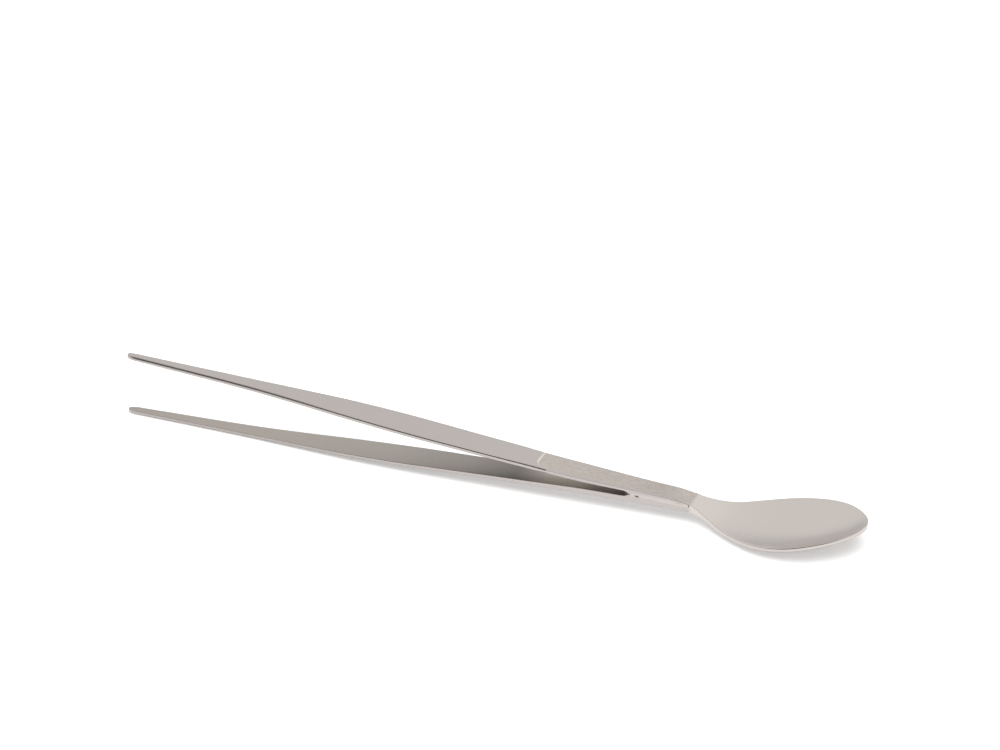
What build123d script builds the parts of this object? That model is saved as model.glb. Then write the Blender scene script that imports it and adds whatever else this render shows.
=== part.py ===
from build123d import *
from math import cos, pi, radians, sin
import os

# Spring tongs with slender serrated jaws at one end and a shallow serving spoon at the other.
#
# Two long strips are laid one on the other, welded along their edges at the handle, and spread
# apart in front of it.  A spoon is butt-welded to the other end of the handle.
#
# The tongs lie on a table with one strip above the other.  The tool axis x runs from the jaw
# tips to the spoon, its zero is the point where the two strips start to part, and its z = 0 is
# the seam between them.  The tool axis is tipped by rest_pitch, because the tongs rest on the
# lower jaw and on the bottom of the bowl.  u is the distance from the parting point to a
# station on a jaw, so x = -u there.

# lengths along the tool axis, mm
jaw_length = 212.6
land_length = 38.6
handle_length = 24.0
bend_station = 14.0
serrated_length = 13.0
bowl_tip = 91.9
bowl_tip_flat = 0.3

# the jaws
throat_length = 2.6
tip_radius = 1.8
shoulder_height = 0.35
shoulder_width = 1.0
tooth_pitch = 1.0
tooth_depth = 0.2
tooth_overrun = 0.08
tooth_mouth = 0.45
bend_clearance = 0.05

# the flat land ground on the top of the handle, which rounds down to the neck
land_front_height = 3.45
land_rear_height = 1.6
land_rear = 15.0
neck_top = 0.65
neck_bottom = -2.65

# welds
weld_width = 0.6
weld_depth = 0.5
weld_start = 0.4
neck_weld_length = 0.6
pit_radius = 0.35
pit_length = 1.8
pit_station = 3.1
pit_height = -0.1
pit_slant = -12

# the spoon
bowl_half_width = 21.0
bowl_widest = 63.5
neck_half_width = 4.95
bowl_roundness = 0.58
shoulder_ease = 0.77
station_count = 15

# how it rests
rest_pitch = 1.39

# design curves: (station, value) pairs joined smoothly
half_width_points = [(-24, 4.95), (0, 5.3), (20, 5.95), (40, 6.45), (65, 6.85), (92, 7.15), (116, 6.45),
                     (138, 5.0), (158, 3.7), (182, 2.75), (210.7, 1.85)]
half_gap_points = [(2.6, 1.05), (20, 1.45), (45, 2.95), (75, 4.9), (113, 7.4), (152, 9.4), (212.6, 11.3)]
upper_thickness_points = [(38.6, 1.65), (60, 1.65), (100, 1.75), (160, 1.8), (212.6, 1.65)]
lower_thickness_points = [(2.6, 2.6), (14, 2.2), (33, 2.05), (46, 1.8), (60, 1.7), (100, 1.75), (160, 1.8),
                          (212.6, 1.65)]
rim_height_points = [(24.6, 0.5), (28.6, -0.8), (32.8, -2.05), (37.0, -2.95), (41, -3.2), (50.7, -2.5),
                     (64, -0.3), (79.4, 3.0), (91.9, 5.15)]
keel_height_points = [(24.6, 0.5), (28.6, -0.85), (33, -2.4), (38, -3.7), (46, -4.45), (56, -4.5),
                      (66, -3.8), (76, -1.8), (85, 1.5), (91.9, 5.05)]
spoon_thickness_points = [(24.6, 3.15), (28.6, 2.4), (33, 2.0), (40, 1.9), (91.9, 1.9)]


def slope_at(points, i):
    # slope of the smooth curve at its point i
    low, high = max(i - 1, 0), min(i + 1, len(points) - 1)
    return (points[high][1] - points[low][1]) / (points[high][0] - points[low][0])


def curve(points, station):
    # value at a station of the smooth curve through the points
    i = max(k for k in range(len(points) - 1) if k == 0 or points[k][0] <= station)
    (x0, y0), (x1, y1) = points[i], points[i + 1]
    span = x1 - x0
    t = min(max((station - x0) / span, 0), 1)
    start, end = slope_at(points, i) * span, slope_at(points, i + 1) * span
    return (2 * t**3 - 3 * t**2 + 1) * y0 + (t**3 - 2 * t**2 + t) * start \
        + (3 * t**2 - 2 * t**3) * y1 + (t**3 - t**2) * end


def half_gap(u):
    # height of the upper jaw's inner face above the seam plane
    return curve(half_gap_points, u)


def rest_drop(u):
    # how far the underside of the lower jaw lies below the parting point in the rest pose
    return (half_gap(u) + curve(lower_thickness_points, u)) * cos(pitch) - u * sin(pitch)


def bowl_width(x):
    # half-width of the spoon at a station
    if x > bowl_widest:
        reach = (x - bowl_widest) / (bowl_tip - bowl_widest)
        return bowl_half_width * (1 - reach**2) ** bowl_roundness
    reach = (x - spoon_start) / (bowl_widest - spoon_start)
    return neck_half_width + (bowl_half_width - neck_half_width) * sin(pi / 2 * reach**shoulder_ease) ** 2


pitch = radians(rest_pitch)
spoon_start = handle_length + neck_weld_length
bowl_end = bowl_tip - bowl_tip_flat

# the parting point lies so that the whole object is centred on x = 0 and stands on z = 0
tip_depth = half_gap(jaw_length) + curve(lower_thickness_points, jaw_length)
left_reach = jaw_length * cos(pitch) + tip_depth * sin(pitch)
right_reach = bowl_end * cos(pitch) + curve(rim_height_points, bowl_end) * sin(pitch)
parting_x = (left_reach - right_reach) / 2
parting_z = max(rest_drop(jaw_length * i / 100) for i in range(101))
tool_x = Vector(cos(pitch), 0, -sin(pitch))
tool_z = Vector(sin(pitch), 0, cos(pitch))
parting = Vector(parting_x, 0, parting_z)

side = Plane(origin=parting, x_dir=tool_x, z_dir=(0, -1, 0))
plan = Plane(origin=parting, x_dir=tool_x, z_dir=tool_z)


def across(x):
    # plane square to the tool axis: its x is the tool's width and its y the tool's height
    return Plane(origin=parting + tool_x * x, x_dir=(0, 1, 0), z_dir=tool_x)


def outline(points, mirrored):
    # the same side-view points, or their mirror image below the seam
    return [(x, -z) if mirrored else (x, z) for x, z in points]


def strip_outline():
    # plan outline of a strip, from the handle's end to the rounded jaw tip
    stations = [20, 40, 65, 92, 105, 116, 127, 138, 158, 182]
    shoulder = jaw_length - tip_radius
    edge = [(0, curve(half_width_points, 0))] + [(-u, curve(half_width_points, u)) for u in stations]
    edge.append((-shoulder, tip_radius))
    with BuildSketch(plan) as sketch:
        with BuildLine():
            Line((handle_length, neck_half_width), edge[0])
            Spline(*edge)
            ThreePointArc(edge[-1], (-jaw_length, 0), (-shoulder, -tip_radius))
            Spline(*[(x, -y) for x, y in reversed(edge)])
            Line((0, -edge[0][1]), (handle_length, -neck_half_width))
            Line((handle_length, -neck_half_width), (handle_length, neck_half_width))
        make_face()
    return sketch.sketch


def inner_points():
    # stations of the upper jaw's inner face, from the throat to the tip
    stations = [throat_length, 11, 20, 32, 45, 60, 75, 94, 113, 132, 152, 172, 192, jaw_length]
    return [(-u, half_gap(u)) for u in stations]


def seam_groove(sign):
    # the V-shaped weld preparation along one edge of the seam
    with BuildPart(mode=Mode.PRIVATE) as groove:
        for x in (weld_start, handle_length - weld_start):
            taper = (curve(half_width_points, 0) - neck_half_width) * (1 - x / handle_length)
            width = neck_half_width + taper
            with BuildSketch(across(x)):
                with BuildLine():
                    Polyline((sign * width, weld_width), (sign * (width - weld_depth), 0),
                             (sign * width, -weld_width), close=True)
                make_face()
        loft(ruled=True)
    return groove.part


near_groove = seam_groove(-1)
far_groove = seam_groove(1)

# upper half: the jaw with its raised back, the step down to the flat land, and the land
inner = inner_points()
back = [(-u, half_gap(u) + curve(upper_thickness_points, u))
        for u in (jaw_length, 185, 160, 130, 100, 75, 55, land_length)]
with BuildPart() as upper_half:
    with BuildSketch(side):
        with BuildLine():
            Polyline((handle_length, 0), (0, 0), inner[0])
            Spline(*inner)
            Line(inner[-1], back[0])
            Spline(*back)
            Polyline(back[-1], (-land_length, land_front_height), (land_rear, land_rear_height))
            Spline((land_rear, land_rear_height), (handle_length, neck_top),
                   tangents=[(land_rear + land_length, land_rear_height - land_front_height), (1, -0.2)])
            Line((handle_length, neck_top), (handle_length, 0))
        make_face()
    extrude(amount=bowl_half_width, both=True)
    extrude(strip_outline(), amount=bowl_half_width, both=True, mode=Mode.INTERSECT)
    add(near_groove, mode=Mode.SUBTRACT)
    add(far_groove, mode=Mode.SUBTRACT)

# lower half: it has no land, and is thicker at the handle
back = [(-u, half_gap(u) + curve(lower_thickness_points, u))
        for u in (jaw_length, 190, 175, 160, 130, 100, 75, 60, 46, 33, bend_station, throat_length)]
with BuildPart() as lower_half:
    with BuildSketch(side):
        with BuildLine():
            Polyline(*outline([(handle_length, 0), (0, 0), inner[0]], True))
            Spline(*outline(inner, True))
            Line(*outline([inner[-1], back[0]], True))
            Spline(*outline(back + [(handle_length, -neck_bottom)], True))
            Line((handle_length, neck_bottom), (handle_length, 0))
        make_face()
    extrude(amount=bowl_half_width, both=True)
    extrude(strip_outline(), amount=bowl_half_width, both=True, mode=Mode.INTERSECT)
    add(near_groove, mode=Mode.SUBTRACT)
    add(far_groove, mode=Mode.SUBTRACT)


# each half is one strip of spring steel; it is parted at its bend, where the jaw turns on the handle
bend = across(-bend_station)


def keep_side(half, clearance, keep):
    # the part of a half on one side of the bend, cut back by the clearance
    with BuildPart(mode=Mode.PRIVATE) as kept:
        add(half.part)
        split(bisect_by=bend.offset(clearance), keep=keep)
    return kept.part


with BuildPart() as upper_arm_root:
    add(keep_side(upper_half, bend_clearance, Keep.TOP))
upper_arm_root.part.label = "upper_arm_root"

with BuildPart() as lower_arm_root:
    add(keep_side(lower_half, bend_clearance, Keep.TOP))
lower_arm_root.part.label = "lower_arm_root"


def teeth(mirrored):
    # cutters for the grooves across the inner face of a jaw tip
    with BuildPart(mode=Mode.PRIVATE) as cutters:
        for i in range(int(serrated_length / tooth_pitch)):
            u = jaw_length - (i + 1) * tooth_pitch
            groove = [(-u - tooth_mouth, half_gap(u) - tooth_overrun), (-u, half_gap(u) + tooth_depth),
                      (-u + tooth_mouth, half_gap(u) - tooth_overrun)]
            with BuildSketch(side):
                with BuildLine():
                    Polyline(*outline(groove, mirrored), close=True)
                make_face()
        extrude(amount=bowl_half_width, both=True)
    return cutters.part


def back_edges(arm, outward):
    # the two long outer edges of a jaw, which are ground to sloping shoulders, and the back between them
    long_edges = ShapeList([e for e in arm.edges() if e.length > jaw_length / 2])
    outer = long_edges.sort_by(lambda e: (e.position_at(0.5) - parting).dot(tool_z) * outward)[-2:]
    back_face = next(f for f in arm.faces() if all(e in f.edges() for e in outer))
    return outer, back_face


with BuildPart() as upper_arm:
    add(keep_side(upper_half, -bend_clearance, Keep.BOTTOM))
    shoulder_edges, back_face = back_edges(upper_arm, 1)
    chamfer(shoulder_edges, length=shoulder_width, length2=shoulder_height, reference=back_face)
    add(teeth(False), mode=Mode.SUBTRACT)
upper_arm.part.label = "upper_arm"

with BuildPart() as lower_arm:
    add(keep_side(lower_half, -bend_clearance, Keep.BOTTOM))
    shoulder_edges, back_face = back_edges(lower_arm, -1)
    chamfer(shoulder_edges, length=shoulder_width, length2=shoulder_height, reference=back_face)
    add(teeth(True), mode=Mode.SUBTRACT)
lower_arm.part.label = "lower_arm"

# weld beads, ground flush; the near one has a small pit
with BuildPart() as seam_weld_near:
    add(near_groove)
    with BuildSketch(side.offset(neck_half_width - weld_depth)):
        with Locations((pit_station, pit_height)):
            SlotOverall(pit_length, 2 * pit_radius, rotation=pit_slant)
    extrude(amount=neck_half_width, mode=Mode.SUBTRACT)
seam_weld_near.part.label = "seam_weld_near"

with BuildPart() as seam_weld_far:
    add(far_groove)
seam_weld_far.part.label = "seam_weld_far"

with BuildPart() as neck_weld:
    with BuildSketch(across(handle_length)):
        with Locations((0, (neck_top + neck_bottom) / 2)):
            Rectangle(2 * neck_half_width, neck_top - neck_bottom)
    extrude(amount=neck_weld_length)
neck_weld.part.label = "neck_weld"

# spoon: sections across the tool axis, dished between rim and keel
with BuildPart() as spoon:
    for i in range(station_count):
        reach = sin(pi / 2 * i / (station_count - 1))
        x = spoon_start + (bowl_end - spoon_start) * reach
        b = bowl_width(x)
        rim = curve(rim_height_points, x)
        dish = curve(keel_height_points, x) - rim
        thickness = curve(spoon_thickness_points, x)
        with BuildSketch(across(x)):
            with BuildLine():
                Bezier((-b, rim), (0, rim + 2 * dish), (b, rim))
                Line((b, rim), (b, rim - thickness))
                Bezier((b, rim - thickness), (0, rim - thickness + 2 * dish), (-b, rim - thickness))
                Line((-b, rim - thickness), (-b, rim))
            make_face()
    loft()
spoon.part.label = "spoon"

os.makedirs("parts", exist_ok=True)
export_step(upper_arm_root.part, "parts/upper_arm_root.step")
export_step(lower_arm_root.part, "parts/lower_arm_root.step")
export_step(upper_arm.part, "parts/upper_arm.step")
export_step(lower_arm.part, "parts/lower_arm.step")
export_step(seam_weld_near.part, "parts/seam_weld_near.step")
export_step(seam_weld_far.part, "parts/seam_weld_far.step")
export_step(neck_weld.part, "parts/neck_weld.step")
export_step(spoon.part, "parts/spoon.step")
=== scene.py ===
from math import cos, pi, radians, sin, sqrt

import bmesh
import bpy
from mathutils import Matrix, Vector


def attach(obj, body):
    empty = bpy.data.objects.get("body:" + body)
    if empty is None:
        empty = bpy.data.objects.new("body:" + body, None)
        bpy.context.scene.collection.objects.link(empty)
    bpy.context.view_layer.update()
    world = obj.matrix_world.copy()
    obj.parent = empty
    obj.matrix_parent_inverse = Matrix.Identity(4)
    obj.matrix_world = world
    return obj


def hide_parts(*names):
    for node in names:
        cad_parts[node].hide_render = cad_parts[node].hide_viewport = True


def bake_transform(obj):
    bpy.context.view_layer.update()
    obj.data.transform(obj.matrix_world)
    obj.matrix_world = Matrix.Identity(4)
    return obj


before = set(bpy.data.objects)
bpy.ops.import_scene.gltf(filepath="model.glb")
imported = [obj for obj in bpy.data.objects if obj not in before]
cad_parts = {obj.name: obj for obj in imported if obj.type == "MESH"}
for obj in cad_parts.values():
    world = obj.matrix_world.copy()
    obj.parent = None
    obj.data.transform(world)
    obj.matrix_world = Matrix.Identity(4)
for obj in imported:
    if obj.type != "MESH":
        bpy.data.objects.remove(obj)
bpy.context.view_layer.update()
mm = 0.001
sharpAngle = radians(38)
print("frame loaded:", sorted(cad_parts))

# the tongs lie tipped on the table: x runs along the tool from the jaw tips to the spoon,
# its zero is where the two strips part, and z = 0 is the seam between them
tool = {"pitch": 1.39, "partingX": 60.577, "partingZ": 7.787, "jawLength": 212.6, "handleEnd": 24.0,
        "spoonStart": 24.6, "bowlTip": 91.9}
tilt = radians(tool["pitch"])
toolX = Vector((cos(tilt), 0, -sin(tilt)))
toolZ = Vector((sin(tilt), 0, cos(tilt)))
parting = Vector((tool["partingX"], 0, tool["partingZ"]))


def place(x, y, z):
    # a point of the tool, in millimetres, to the frame's metres
    return (parting + toolX * x + Vector((0, y, 0)) + toolZ * z) * mm


def follow(points, station):
    # the value at a station of the smooth curve through a few (station, value) pairs
    last = len(points) - 1
    i = max(k for k in range(last) if k == 0 or points[k][0] <= station)

    def slope(k):
        low, high = max(k - 1, 0), min(k + 1, last)
        return (points[high][1] - points[low][1]) / (points[high][0] - points[low][0])

    (x0, y0), (x1, y1) = points[i], points[i + 1]
    t = min(max((station - x0) / (x1 - x0), 0), 1)
    return ((2 * t**3 - 3 * t**2 + 1) * y0 + (t**3 - 2 * t**2 + t) * slope(i) * (x1 - x0)
            + (3 * t**2 - 2 * t**3) * y1 + (t**3 - t**2) * slope(i + 1) * (x1 - x0))


def ease(t):
    t = min(max(t, 0), 1)
    return t * t * (3 - 2 * t)


def spread(start, end, step):
    # even stations from the start up to, but without, the end
    count = max(1, round(abs(end - start) / step))
    return [start + (end - start) * i / count for i in range(count)]


class Wire:
    # a node's output, with the maths that the finishes use

    def __init__(self, kit, socket):
        self.kit = kit
        self.socket = socket

    def maths(self, operation, *values):
        return self.kit.node("ShaderNodeMath", {"operation": operation}, dict(enumerate(values)))

    def __add__(self, other):
        return self.maths("ADD", self, other)

    def __radd__(self, other):
        return self.maths("ADD", other, self)

    def __sub__(self, other):
        return self.maths("SUBTRACT", self, other)

    def __rsub__(self, other):
        return self.maths("SUBTRACT", other, self)

    def __mul__(self, other):
        return self.maths("MULTIPLY", self, other)

    def __rmul__(self, other):
        return self.maths("MULTIPLY", other, self)


class Kit:
    # one material's or world's node tree

    def __init__(self, tree):
        self.tree = tree
        tree.nodes.clear()

    def node(self, kind, settings=None, sockets=None, output=0):
        made = self.tree.nodes.new(kind)
        for name, value in (settings or {}).items():
            if name == "stops":
                ramp = made.color_ramp
                while len(ramp.elements) < len(value):
                    ramp.elements.new(0.5)
                for element, (position, colour) in zip(ramp.elements, value):
                    element.position = position
                    element.color = (*colour, 1)
            else:
                setattr(made, name, value)
        for name, value in (sockets or {}).items():
            if isinstance(value, Wire):
                self.tree.links.new(value.socket, made.inputs[name])
            else:
                made.inputs[name].default_value = value
        return Wire(self, made.outputs[output]) if len(made.outputs) else made


def newKit(owner):
    owner.use_nodes = True
    return Kit(owner.node_tree)


def noise(kit, point, scale, detail, roughness=0.5):
    return kit.node("ShaderNodeTexNoise", None,
                    {"Vector": point, "Scale": scale, "Detail": detail, "Roughness": roughness})


def stretched(kit, point, scale):
    # the same point, scaled so that a texture draws out into brush marks
    return kit.node("ShaderNodeMapping", {"vector_type": "POINT"}, {"Vector": point, "Scale": scale})


def mixed(kit, factor, a, b):
    a, b = (tone if isinstance(tone, Wire) else (*tone, 1) for tone in (a, b))
    return kit.node("ShaderNodeMix", {"data_type": "RGBA"}, {"Factor": factor, 6: a, 7: b}, output=2)


# what all the steel finishes share: the three scales of grain, and how they roughen the surface
grain = {"brushShare": 0.45, "mottleShare": 0.35, "cloudShare": 0.2, "cloudScale": 28,
         "brushRoughness": 0.08, "cloudRoughness": 0.08, "bumpDistance": 0.0001}
# "shade" darkens a finish along the tool: from one x to the other, in metres, by these steps
steelLooks = {
    "satinSteel": {
        "light": (0.62, 0.57, 0.545), "dark": (0.56, 0.515, 0.49), "roughness": 0.27, "contrast": 0.3,
        "brush": (25, 1200, 1200), "brushDepth": 0.02, "mottle": 160, "mottleDepth": 0.0,
        "shade": (-0.15, 0.06, [(0.0, 0.97), (0.6, 0.97), (0.8, 1.0), (1.0, 1.0)])},
    # the inner faces: a darker finish, with painted shade along the gap between the strips, deepest towards
    # the throat
    "innerSteelPaintedShade": {
        "light": (0.56, 0.51, 0.465), "dark": (0.47, 0.425, 0.385), "roughness": 0.34, "contrast": 1.0,
        "brush": (60, 1400, 1400), "brushDepth": 0.05, "mottle": 260, "mottleDepth": 0.0,
        "shade": (-0.09, 0.065, [(0.0, 0.94), (0.33, 0.87), (0.53, 0.68), (0.67, 0.42), (0.75, 0.9),
                                 (0.84, 1.0), (0.94, 0.6), (0.98, 0.35)])},
    "groundSteel": {
        "light": (0.80, 0.725, 0.665), "dark": (0.50, 0.45, 0.41), "roughness": 0.38, "contrast": 2.5,
        "brush": (400, 1000, 1000), "brushDepth": 0.12, "mottle": 1000, "mottleDepth": 0.3,
        "shade": (0.022, 0.080, [(0.0, 0.98), (0.5, 0.91), (0.85, 0.86), (1.0, 0.95)])},
    # painted light: the spoon's steel is lighter at the neck and a little darker towards the bowl
    "spoonSteel": {
        "light": (0.755, 0.70, 0.66), "dark": (0.70, 0.645, 0.605), "roughness": 0.25, "contrast": 1.0,
        "brush": (60, 1500, 1500), "brushDepth": 0.03, "mottle": 90, "mottleDepth": 0.0,
        "shade": (0.085, 0.115, [(0.0, 1.0), (1.0, 0.93)])},
    # painted highlight: a lighter steel on the rings along the land's step, to show a bright line there
    "stepHighlightSteel": {
        "light": (0.84, 0.79, 0.75), "dark": (0.78, 0.73, 0.69), "roughness": 0.4, "contrast": 1.0,
        "brush": (200, 1500, 1500), "brushDepth": 0.02, "mottle": 500, "mottleDepth": 0.0,
        "shade": (0.0, 0.1, [(0.0, 1.0), (1.0, 1.0)])},
    "weldSteel": {
        "light": (0.72, 0.665, 0.625), "dark": (0.65, 0.60, 0.565), "roughness": 0.3, "contrast": 1.0,
        "brush": (200, 1500, 1500), "brushDepth": 0.06, "mottle": 500, "mottleDepth": 0.1,
        "shade": (0.06, 0.085, [(0.0, 0.95), (1.0, 1.0)])},
}


def steel(name):
    look = steelLooks[name]
    material = bpy.data.materials.new(name)
    kit = newKit(material)
    point = kit.node("ShaderNodeTexCoord", output=3)
    brush = noise(kit, stretched(kit, point, look["brush"]), 1.0, 3, 0.6)
    mottle = noise(kit, point, look["mottle"], 5, 0.6)
    cloud = noise(kit, point, grain["cloudScale"], 2)
    spots = ((brush - 0.5) * grain["brushShare"] + (mottle - 0.5) * grain["mottleShare"]
             + (cloud - 0.5) * grain["cloudShare"])
    tone = kit.node("ShaderNodeClamp", None, {"Value": spots * look["contrast"] + 0.5})
    start, end, steps = look["shade"]
    x = kit.node("ShaderNodeSeparateXYZ", None, {"Vector": point})
    along = kit.node("ShaderNodeMapRange", None, {"Value": x, "From Min": start, "From Max": end})
    stops = [(position, (tint, tint, tint)) for position, tint in steps]
    shade = kit.node("ShaderNodeValToRGB", {"stops": stops}, {"Fac": along})
    colour = kit.node("ShaderNodeVectorMath", {"operation": "MULTIPLY"},
                      {0: mixed(kit, tone, look["dark"], look["light"]), 1: shade})
    rough = (look["roughness"] + (brush - 0.5) * (grain["brushRoughness"] * look["contrast"])
             + (cloud - 0.5) * grain["cloudRoughness"])
    bump = kit.node("ShaderNodeBump", None,
                    {"Strength": look["brushDepth"], "Distance": grain["bumpDistance"],
                     "Height": brush + mottle * look["mottleDepth"]})
    shader = kit.node("ShaderNodeBsdfPrincipled", None,
                      {"Base Color": colour, "Metallic": 1.0, "Roughness": rough, "Normal": bump})
    kit.node("ShaderNodeOutputMaterial", None, {"Surface": shader})
    return material


steels = {name: steel(name) for name in steelLooks}
print("finishes made:", len(steels))


def rounded(corner, before, after, reach, count=5, hold=0.04):
    # points round a corner, with a holding point close to each end so that the flats beside it stay flat
    toBefore, toAfter = before - corner, after - corner
    backWay, onWay = toBefore.normalized(), toAfter.normalized()
    reach = min(reach, 0.8 * toBefore.length, 0.8 * toAfter.length)  # never all the way along either side
    start, end = corner + backWay * reach, corner + onWay * reach
    shares = [i / count for i in range(count + 1)]
    arc = [start * (1 - t) ** 2 + corner * (2 * t * (1 - t)) + end * t**2 for t in shares]
    return [start + backWay * hold] + arc + [end + onWay * hold]


def settle(name, build, finishes):
    # turns a built skin into a piece, smooth but for its edges
    mesh = bpy.data.meshes.new(name)
    bmesh.ops.recalc_face_normals(build, faces=build.faces)
    build.to_mesh(mesh)
    build.free()
    for finish in finishes:
        mesh.materials.append(steels[finish])
    mesh.shade_smooth()
    mesh.set_sharp_from_angle(angle=sharpAngle)
    piece = bpy.data.objects.new(name, mesh)
    bpy.context.scene.collection.objects.link(piece)
    return piece


def skin(name, rings, finishes, paint, farRings=None):
    # a closed skin over half rings, each a list of (x, y, z) round from one centre line to the other;
    # the far half is the near one's mirror unless it has rings of its own
    build = bmesh.new()
    loops = []
    for ring, farRing in zip(rings, farRings or rings):
        near = [build.verts.new(place(x, -y, z)) for x, y, z in ring]
        far = [build.verts.new(place(x, y, z)) for x, y, z in farRing[1:-1]]
        loops.append((near, [near[0]] + far + [near[-1]]))
    for i, (loop, nextLoop) in enumerate(zip(loops, loops[1:])):
        for a, b, way in zip(loop, nextLoop, (1, -1)):
            for j in range(len(a) - 1):
                corners = (a[j], b[j], b[j + 1], a[j + 1])
                build.faces.new(corners[::way]).material_index = paint(i, j)
    for (near, far), row, way in ((loops[0], 0, 1), (loops[-1], len(loops) - 2, -1)):
        for j in range(len(near) - 1):
            corners = list(dict.fromkeys((near[j], near[j + 1], far[j + 1], far[j])))  # each corner once
            build.faces.new(corners[::way]).material_index = paint(row, j)
    return settle(name, build, finishes)


# sizes in millimetres; stations are counted from the parting point towards the jaw tips
strip = {
    "halfWidth": [(-24, 4.95), (0, 5.3), (20, 5.95), (40, 6.45), (65, 6.85), (92, 7.15), (116, 6.45),
                  (138, 5.0), (158, 3.7), (182, 2.75), (208.4, 1.95)],
    "halfGap": [(2.6, 1.05), (20, 1.45), (45, 2.95), (75, 4.9), (113, 7.4), (152, 9.4), (212.6, 11.3)],
    "throat": 2.6, "throatBlunt": 0.8, "tipLength": 4.2, "tipSoftening": 0.8, "tipLeast": 0.4,
    "edge": 0.22, "backRound": 0.55,
    "toothPitch": 1.0, "toothDepth": 0.16, "serrated": 13.0, "toothMargin": 0.5,
    "grooveDepth": 0.5, "grooveHeight": 0.6, "grooveStart": 0.4,
}

upper = {
    "side": [(38.6, 0.9), (46, 1.35), (60, 1.4), (100, 1.4), (160, 1.55), (212.6, 1.4)],
    "shoulderRise": [(38.6, 0.6), (46, 0.35), (60, 0.22), (100, 0.25), (180, 0.3), (212.6, 0.4)],
    "shoulderWidth": [(38.6, 0.8), (46, 1.0), (60, 1.2), (118, 1.1), (160, 1.2), (212.6, 1.1)],
    "round": [(38.6, 0.5), (60, 0.52), (100, 0.58), (118, 0.62), (138, 0.92), (160, 1.0), (212.6, 0.95)],
    "crown": [(38.6, 0.12), (60, 0.06), (212.6, 0.05)],
}

lower = {
    "side": [(-24, 2.45), (-16, 2.6), (0, 2.95), (2.6, 2.4), (14, 2.05), (33, 1.9), (46, 1.6), (60, 1.45),
             (100, 1.45), (160, 1.55), (212.6, 1.4)],
    "shoulderRise": [(-24, 0.15), (33, 0.15), (46, 0.2), (60, 0.22), (212.6, 0.25)],
    "shoulderWidth": [(-24, 0.2), (33, 0.3), (46, 0.8), (60, 1.2), (118, 1.1), (160, 1.2), (212.6, 0.7)],
    "round": [(-24, 0.2), (33, 0.3), (60, 0.4), (118, 0.45), (138, 0.6), (160, 0.7), (212.6, 0.8)],
    "crown": [(-24, 0.04), (212.6, 0.05)],
}

# the flat ground on the upper strip, from its step to the neck
land = {"length": 38.6, "front": 3.75, "rear": 1.6, "rearAt": 15.0, "neckTop": 0.54, "stepRun": 0.45,
        "bevel": 0.45, "bevelLeast": 0.12, "bevelFade": (2, 20), "bevelDrop": 0.35, "round": 0.08,
        "cornerNear": 5.2, "cornerFar": 1.2, "cornerReach": 10.0, "cornerInset": 0.4, "cornerDepth": 1.7,
        "cornerFade": 0.8}


def halfGap(u):
    return follow(strip["halfGap"], u)


def innerHeight(x):
    # the inner face: on the seam in the handle, closing to a point in the throat, then the parting jaws
    u = -x
    if u <= 0:
        return 0.0
    if u < strip["throat"]:
        return halfGap(strip["throat"]) * sin(pi / 2 * u / strip["throat"]) ** strip["throatBlunt"]
    tooth = 0.0
    depth = strip["serrated"] - (tool["jawLength"] - u)
    if depth > 0 and u < tool["jawLength"] - strip["toothMargin"]:
        phase = (depth / strip["toothPitch"]) % 1
        tooth = strip["toothDepth"] * max(0, 1 - abs(phase - 0.5) * 3)
    return halfGap(u) + tooth


def halfWidthAt(x):
    # the tip is a half ellipse
    u = -x
    start = tool["jawLength"] - strip["tipLength"]
    if u <= start:
        return follow(strip["halfWidth"], u)
    reach = (u - start) / strip["tipLength"]
    return follow(strip["halfWidth"], start) * sqrt(max(1 - reach**2, 0.0004))


def landHeight(x):
    # the ground land falls evenly from the step, then rounds down to the neck
    run = (x + land["length"]) / (land["rearAt"] + land["length"])
    height = land["front"] + (land["rear"] - land["front"]) * run
    if x > land["rearAt"]:
        t = (x - land["rearAt"]) / (tool["handleEnd"] - land["rearAt"])
        height -= (height - land["neckTop"]) * t**2
    return height


def outerHeights(x, shape, onLand):
    # how high the side and the back stand over the seam, and the width, rounding and crown between them
    u = -x
    if onLand:
        fadeFrom, fadeTo = land["bevelFade"]
        bevel = land["bevelLeast"] + land["bevel"] * ease((u + fadeTo) / (fadeTo - fadeFrom))
        back = landHeight(x)
        return back - land["bevelDrop"] * bevel, back, bevel, land["round"], 0.0
    side = follow(shape["side"], u)
    if u > strip["throat"] or shape is upper:
        side += halfGap(u)
    elif u > 0:  # evenly down from the throat's full height to the handle's
        handle, throat = follow(shape["side"], 0), follow(shape["side"], strip["throat"])
        side = handle + (halfGap(strip["throat"]) + throat - handle) * u / strip["throat"]
    return (side, side + follow(shape["shoulderRise"], u), follow(shape["shoulderWidth"], u),
            follow(shape["round"], u), follow(shape["crown"], u))


insideShares = (0, 0.35, 0.65, 0.88)
backShares = (0.02, 0.05, 0.09, 0.14, 0.2, 0.28, 0.38, 0.52, 0.7, 1)


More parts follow.
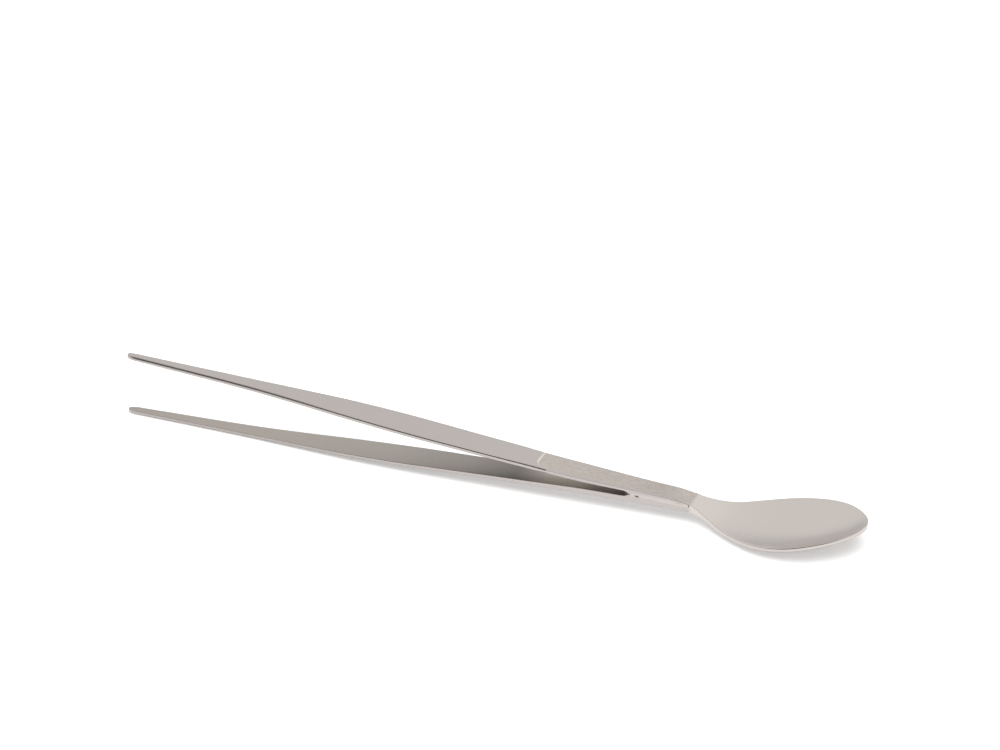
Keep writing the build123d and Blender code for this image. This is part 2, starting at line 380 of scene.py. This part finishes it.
def stripHalf(x, shape, onLand, sign):
    # half a section, from the middle of the inner face round the edge to the middle of the back
    b = halfWidthAt(x)
    inner = innerHeight(x)
    side, back, shoulder, reach, crown = outerHeights(x, shape, onLand)
    left = (tool["jawLength"] + x) / strip["tipSoftening"]
    if left < 1:  # the tip thins out
        keep = strip["tipLeast"] + (1 - strip["tipLeast"]) * sqrt(max(1 - (1 - left) ** 2, 0))
        side = inner + (side - inner) * keep
        back = inner + (back - inner) * keep
    shoulder = min(shoulder, 0.6 * b)
    middle, lowEdge, highEdge = Vector((0, inner)), Vector((b, inner)), Vector((b, side))
    backEdge, backMiddle = Vector((b - shoulder, back)), Vector((0, back))
    if x > 0:  # the groove that the seam weld fills
        grow = min(1, x / strip["grooveStart"], (tool["handleEnd"] - x) / strip["grooveStart"])
        start = Vector((b - strip["grooveDepth"] * grow, inner))
        end = Vector((b, inner + strip["grooveHeight"] * grow))
        edge = [start + (end - start) * i / 7 for i in range(8)]
    else:
        edge = rounded(lowEdge, highEdge, middle, min(strip["edge"], 0.25 * b))[::-1]
    outside = rounded(highEdge, lowEdge, backEdge, reach)
    outside += rounded(backEdge, outside[-1], backMiddle, strip["backRound"])
    across = [outside[-1].lerp(backMiddle, k) for k in backShares]
    ring = []
    for y, z in [middle.lerp(edge[0], k) for k in insideShares] + edge + outside + across:
        lift = crown * (1 - (y / backEdge.x) ** 2) if z >= back - 1e-6 and y < backEdge.x else 0.0
        ring.append((x, y, sign * (z + lift)))
    return ring


def stripRings(shape, sign):
    # the sections from the jaw tip to the handle's end, and the number of the first one on the land
    jaw, step, mid = tool["jawLength"], -land["length"], -25
    pastTeeth, jawEnd = -jaw + strip["serrated"] + strip["toothMargin"], -50
    stations = [-(jaw - strip["tipSoftening"] * (1 - cos(pi / 2 * i / 10))) for i in range(10)]
    stations += spread(-jaw + strip["tipSoftening"], pastTeeth, strip["toothPitch"] / 6)
    stations += spread(pastTeeth, jawEnd, 1.4)
    if sign > 0:
        stations += spread(jawEnd, step - 0.2, 0.45) + [step - 0.2, step - 0.05, step]
        foot = step + land["stepRun"]
        rest = [foot, foot + 0.08, foot + 0.25] + spread(foot + 0.6, mid, 0.5)
    else:
        stations += spread(jawEnd, step, 0.7)
        rest = spread(step, mid, 0.9)
    rest += spread(mid, -strip["throat"], 0.9)
    rest += spread(-strip["throat"], 0, 0.13) + [0.0, 0.2, strip["grooveStart"]]
    grooveEnd = tool["handleEnd"] - strip["grooveStart"]
    rest += spread(0.8, grooveEnd, 0.8) + [grooveEnd, tool["handleEnd"]]
    rings = [stripHalf(x, shape, False, sign) for x in stations]
    return rings + [stripHalf(x, shape, sign > 0, sign) for x in rest], len(rings)


def squareOff(ring, corner):
    # the land's front corners are round: near its edges the step bows back towards the handle
    x = ring[0][0]
    weight = 1 - ease(abs(x + land["length"]) / land["cornerReach"])
    top = max(z for _, _, z in ring)
    flat = halfWidthAt(x) - land["cornerInset"]
    out = []
    for _, y, z in ring:
        reach = min(max((y - flat) / corner + 1, 0), 1)
        bow = corner * (1 - sqrt(1 - reach**2))
        out.append((x + bow * weight * ease((z - top + land["cornerDepth"]) / land["cornerFade"]), y, z))
    return out


innerRow = len(insideShares) + 2
backRow = len(stripHalf(-100, upper, False, 1)) - len(backShares) - 1
upperRings, landStart = stripRings(upper, 1)
lowerRings, _ = stripRings(lower, -1)


def upperFinish(i, j):
    # the inner faces carry the inner finish with its painted shade
    if j < innerRow:
        return 2
    if j < backRow or i < landStart - 2:
        return 0
    return 3 if i <= landStart + 1 else 1  # a painted highlight along the step


upperStrip = skin("upperStrip", [squareOff(ring, land["cornerNear"]) for ring in upperRings],
                  ["satinSteel", "groundSteel", "innerSteelPaintedShade", "stepHighlightSteel"], upperFinish,
                  [squareOff(ring, land["cornerFar"]) for ring in upperRings])
# the lower strip's inner faces carry the painted shade of the inner finish
lowerStrip = skin("lowerStrip", lowerRings, ["satinSteel", "innerSteelPaintedShade"],
                  lambda i, j: 1 if j < innerRow else 0)
print("strips:", len(upperStrip.data.polygons), len(lowerStrip.data.polygons), "faces")

spoonShape = {
    "rim": [(24.6, 0.5), (28.6, -0.8), (32.8, -2.05), (37.0, -2.95), (41, -3.2), (50.7, -2.5), (64, -0.3),
            (79.4, 3.0), (91.9, 5.15)],
    "keel": [(24.6, 0.5), (28.6, -0.85), (33, -2.4), (38, -3.7), (46, -4.45), (56, -4.5), (66, -3.8),
             (76, -1.8), (85, 1.5), (91.9, 5.05)],
    "thickness": [(24.6, 3.15), (28.6, 2.4), (33, 2.0), (40, 1.9), (91.9, 1.9)],
    "halfWidth": 21.0, "neckHalfWidth": 4.95, "neckLift": 0.02, "widest": 63.5, "roundness": 0.58,
    "ease": 0.77,
    "rimRound": 0.8, "underRound": 0.9, "roundFrom": 0.12, "roundBy": 45,
}


def spoonWidth(x):
    s = spoonShape
    if x > s["widest"]:
        reach = (x - s["widest"]) / (tool["bowlTip"] - s["widest"])
        return s["halfWidth"] * max(1 - reach**2, 1e-6) ** s["roundness"]
    reach = (x - tool["spoonStart"]) / (s["widest"] - tool["spoonStart"])
    return s["neckHalfWidth"] + (s["halfWidth"] - s["neckHalfWidth"]) * sin(pi / 2 * reach ** s["ease"]) ** 2


def spoonHalf(x):
    # half a section of the spoon, from the middle of its underside round the rim to the middle of the bowl
    s = spoonShape
    b = spoonWidth(x)
    rim = follow(s["rim"], x)
    dish = follow(s["keel"], x) - rim
    thick = follow(s["thickness"], x)
    grown = ease((x - tool["spoonStart"]) / (s["roundBy"] - tool["spoonStart"]))
    small = min(1, b / 3) * (s["roundFrom"] + (1 - s["roundFrom"]) * grown)

    def dished(y, drop=0.0):
        return Vector((y, rim - drop + dish * (1 - (y / b) ** 2)))

    low, high = Vector((b, rim - thick)), Vector((b, rim))
    under = rounded(low, dished(0.9 * b, thick), high, s["underRound"] * small)
    over = rounded(high, low, dished(0.9 * b), s["rimRound"] * small)
    shares = [i / 16 for i in range(16)]
    points = [dished(under[0].x * k, thick) for k in shares] + under + over
    points += [dished(over[-1].x * k) for k in reversed(shares)]
    return [(x, point.x, point.y) for point in points]


def neckRing(i, last=3):
    # the spoon's first section, carried back to the handle and lifted a little to meet it
    x = tool["handleEnd"] + (tool["spoonStart"] - tool["handleEnd"]) * i / last
    lift = spoonShape["neckLift"] * (1 - i / last)
    return [(x, y, z + lift) for _, y, z in spoonHalf(tool["spoonStart"])]


neckEnd, frontRings = 45, 60
spoonStations = spread(tool["spoonStart"], neckEnd, 0.5) + spread(neckEnd, spoonShape["widest"], 0.9)
front = tool["bowlTip"] - spoonShape["widest"]
spoonStations += [spoonShape["widest"] + front * sin(pi / 2 * i / frontRings) for i in range(frontRings)]
spoon = skin("spoonBowl", [spoonHalf(x) for x in spoonStations], ["spoonSteel"], lambda i, j: 0)
neckWeld = skin("neckWeld", [neckRing(i) for i in range(4)], ["weldSteel"], lambda i, j: 0)
print("spoon:", len(spoon.data.polygons), "faces")

# the seam welds are ground flush; each pit is x, z, half length, half height, depth and turn
seam = {"start": 0.4, "end": 23.6, "halfHeight": 0.6, "depth": 0.5, "rows": 24,
        "pits": [(3.1, -0.25, 0.95, 0.3, 0.45, -12), (19.8, 0.3, 1.3, 0.07, 0.06, -2)]}


def pitDepth(x, z, pits):
    dent = 0.0
    for pitX, pitZ, length, height, depth, turn in pits:
        c, s = cos(radians(turn)), sin(radians(turn))
        along, up = (x - pitX) * c + (z - pitZ) * s, (z - pitZ) * c - (x - pitX) * s
        inside = 1 - (along / length) ** 2 - (up / height) ** 2
        if inside > 0:
            dent = max(dent, depth * min(1, inside * 2.5))
    # never through the weld's back, which narrows to a point
    return min(dent, seam["depth"] * (1 - abs(z) / seam["halfHeight"]) - 0.01 if dent else 0)


def seamWeld(name, sign, pits):
    build = bmesh.new()
    stations = spread(seam["start"], 1.6, 0.4) + spread(1.6, 5.0, 0.08) + spread(5.0, 18, 0.8)
    stations += spread(18, 21.6, 0.12) + spread(21.6, seam["end"], 0.5) + [seam["end"]]  # closest at the pits
    heights = [seam["halfHeight"] * (2 * k / seam["rows"] - 1) for k in range(seam["rows"] + 1)]
    grid = []
    for x in stations:
        b = halfWidthAt(x)
        line = [build.verts.new(place(x, sign * (b - pitDepth(x, z, pits)), z)) for z in heights]
        line.append(build.verts.new(place(x, sign * (b - seam["depth"]), 0)))
        grid.append(line)
    for a, b in zip(grid, grid[1:]):
        for j in range(len(a)):
            k = (j + 1) % len(a)
            build.faces.new((a[j], b[j], b[k], a[k]))
    build.faces.new(grid[0])
    build.faces.new(grid[-1])
    return settle(name, build, ["weldSteel"])


seamWeldNear = seamWeld("seamWeldNear", -1, seam["pits"])
seamWeldFar = seamWeld("seamWeldFar", 1, [])
print("welds made")

# the strips are baked where they lie, and the rest rides the handle
bendZone = {"start": -3.0, "end": -33.0}
for piece, jaw in ((upperStrip, "upper_jaw"), (lowerStrip, "lower_jaw")):
    place(bendZone["start"], 0, 0)
    place(bendZone["end"], 0, 0)
    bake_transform(piece)
for piece in (spoon, neckWeld, seamWeldNear, seamWeldFar):
    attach(piece, "handle")
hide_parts("upper_arm", "upper_arm_root")
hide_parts("lower_arm", "lower_arm_root")
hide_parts("spoon")
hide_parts("neck_weld")
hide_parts("seam_weld_near")
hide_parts("seam_weld_far")

studio = {"floorSize": 6.0, "floorTone": (0.80, 0.80, 0.80, 1), "glowSeen": (0.40, 0.40, 0.40),
          "glowMirrored": (0.10, 0.10, 0.10), "highTone": (0.86, 0.86, 0.86), "lowTone": (0.55, 0.55, 0.55),
          "lowUpTo": 0.05, "highFrom": 0.42, "fillTone": (0.25, 0.25, 0.25)}
# a dim part of the room near the camera, and a bright one behind and to the right
darkPatch = {"tone": (0.06, 0.06, 0.06), "towards": (0.05, -0.72, 0.65), "inner": 0.81, "outer": 0.70}
brightPatch = {"tone": (0.92, 0.92, 0.92), "towards": (0.38, 0.8, 0.42), "inner": 0.95, "outer": 0.87}
overhead = {"position": (0.3, -0.6, 3.0), "aim": (0, 0, 0), "size": 4.2, "power": 128}
shot = {"azimuth": 21.79, "elevation": 27.11, "roll": -0.19, "distance": 1.51365, "lens": 144,
        "aim": place(-55.0, -0.54, 36.9)}


def makeFloor():
    # a white table, lit a little from inside, less so for what the steel mirrors
    mesh = bpy.data.meshes.new("tableTop")
    build = bmesh.new()
    bmesh.ops.create_grid(build, x_segments=1, y_segments=1, size=studio["floorSize"] / 2)
    build.to_mesh(mesh)
    build.free()
    material = bpy.data.materials.new("paleTable")
    kit = newKit(material)
    glow = mixed(kit, kit.node("ShaderNodeLightPath"), studio["glowMirrored"], studio["glowSeen"])
    shader = kit.node("ShaderNodeBsdfPrincipled", None,
                      {"Base Color": studio["floorTone"], "Roughness": 1.0, "Specular IOR Level": 0.0,
                       "Emission Color": glow, "Emission Strength": 1.0})
    kit.node("ShaderNodeOutputMaterial", None, {"Surface": shader})
    mesh.materials.append(material)
    floor = bpy.data.objects.new("tableTop", mesh)
    bpy.context.scene.collection.objects.link(floor)


def smoothRange(kit, value, low, high):
    return kit.node("ShaderNodeMapRange", {"interpolation_type": "SMOOTHSTEP"},
                    {"Value": value, "From Min": low, "From Max": high})


def makeWorld():
    # a pale room, dimmer low down and on the near side; the floor itself gets only a little of it
    world = bpy.data.worlds.new("studio")
    bpy.context.scene.world = world
    kit = newKit(world)
    direction = kit.node("ShaderNodeTexCoord", output=0)
    height = kit.node("ShaderNodeSeparateXYZ", None, {"Vector": direction}, output=2)
    high = smoothRange(kit, height, studio["lowUpTo"], studio["highFrom"])
    room = mixed(kit, high, studio["lowTone"], studio["highTone"])
    for patch in (darkPatch, brightPatch):
        towards = kit.node("ShaderNodeVectorMath", {"operation": "DOT_PRODUCT"},
                           {0: direction, 1: Vector(patch["towards"]).normalized()}, output=1)
        room = mixed(kit, smoothRange(kit, towards, patch["outer"], patch["inner"]), room, patch["tone"])
    diffuseRay = kit.node("ShaderNodeLightPath", output=2)
    tone = mixed(kit, diffuseRay, room, studio["fillTone"])
    background = kit.node("ShaderNodeBackground", None, {"Color": tone, "Strength": 1.0})
    kit.node("ShaderNodeOutputWorld", None, {"Surface": background})


def makeLight():
    # lights the floor; the steel mirrors the room instead
    lamp = bpy.data.lights.new("overhead", "AREA")
    lamp.shape = "DISK"
    lamp.size = overhead["size"]
    lamp.energy = overhead["power"]
    light = bpy.data.objects.new("overhead", lamp)
    light.location = overhead["position"]
    down = Vector(overhead["aim"]) - Vector(overhead["position"])
    light.rotation_euler = down.to_track_quat("-Z", "Y").to_euler()
    light.visible_glossy = False
    bpy.context.scene.collection.objects.link(light)


def makeCamera():
    # seen from the near right, about a third of the way up from the table
    a, e = radians(shot["azimuth"]), radians(shot["elevation"])
    back = Vector((sin(a) * cos(e), -cos(a) * cos(e), sin(e)))
    data = bpy.data.cameras.new("camera")
    data.lens = shot["lens"]
    data.sensor_width = 36
    data.clip_end = 50
    camera = bpy.data.objects.new("camera", data)
    turn = (-back).to_track_quat("-Z", "Y").to_matrix() @ Matrix.Rotation(radians(shot["roll"]), 3, "Z")
    camera.matrix_world = Matrix.Translation(shot["aim"] + back * shot["distance"]) @ turn.to_4x4()
    bpy.context.scene.collection.objects.link(camera)
    bpy.context.scene.camera = camera


makeFloor()
makeWorld()
makeLight()
makeCamera()
bpy.context.scene.view_settings.view_transform = "Standard"
print("studio made")
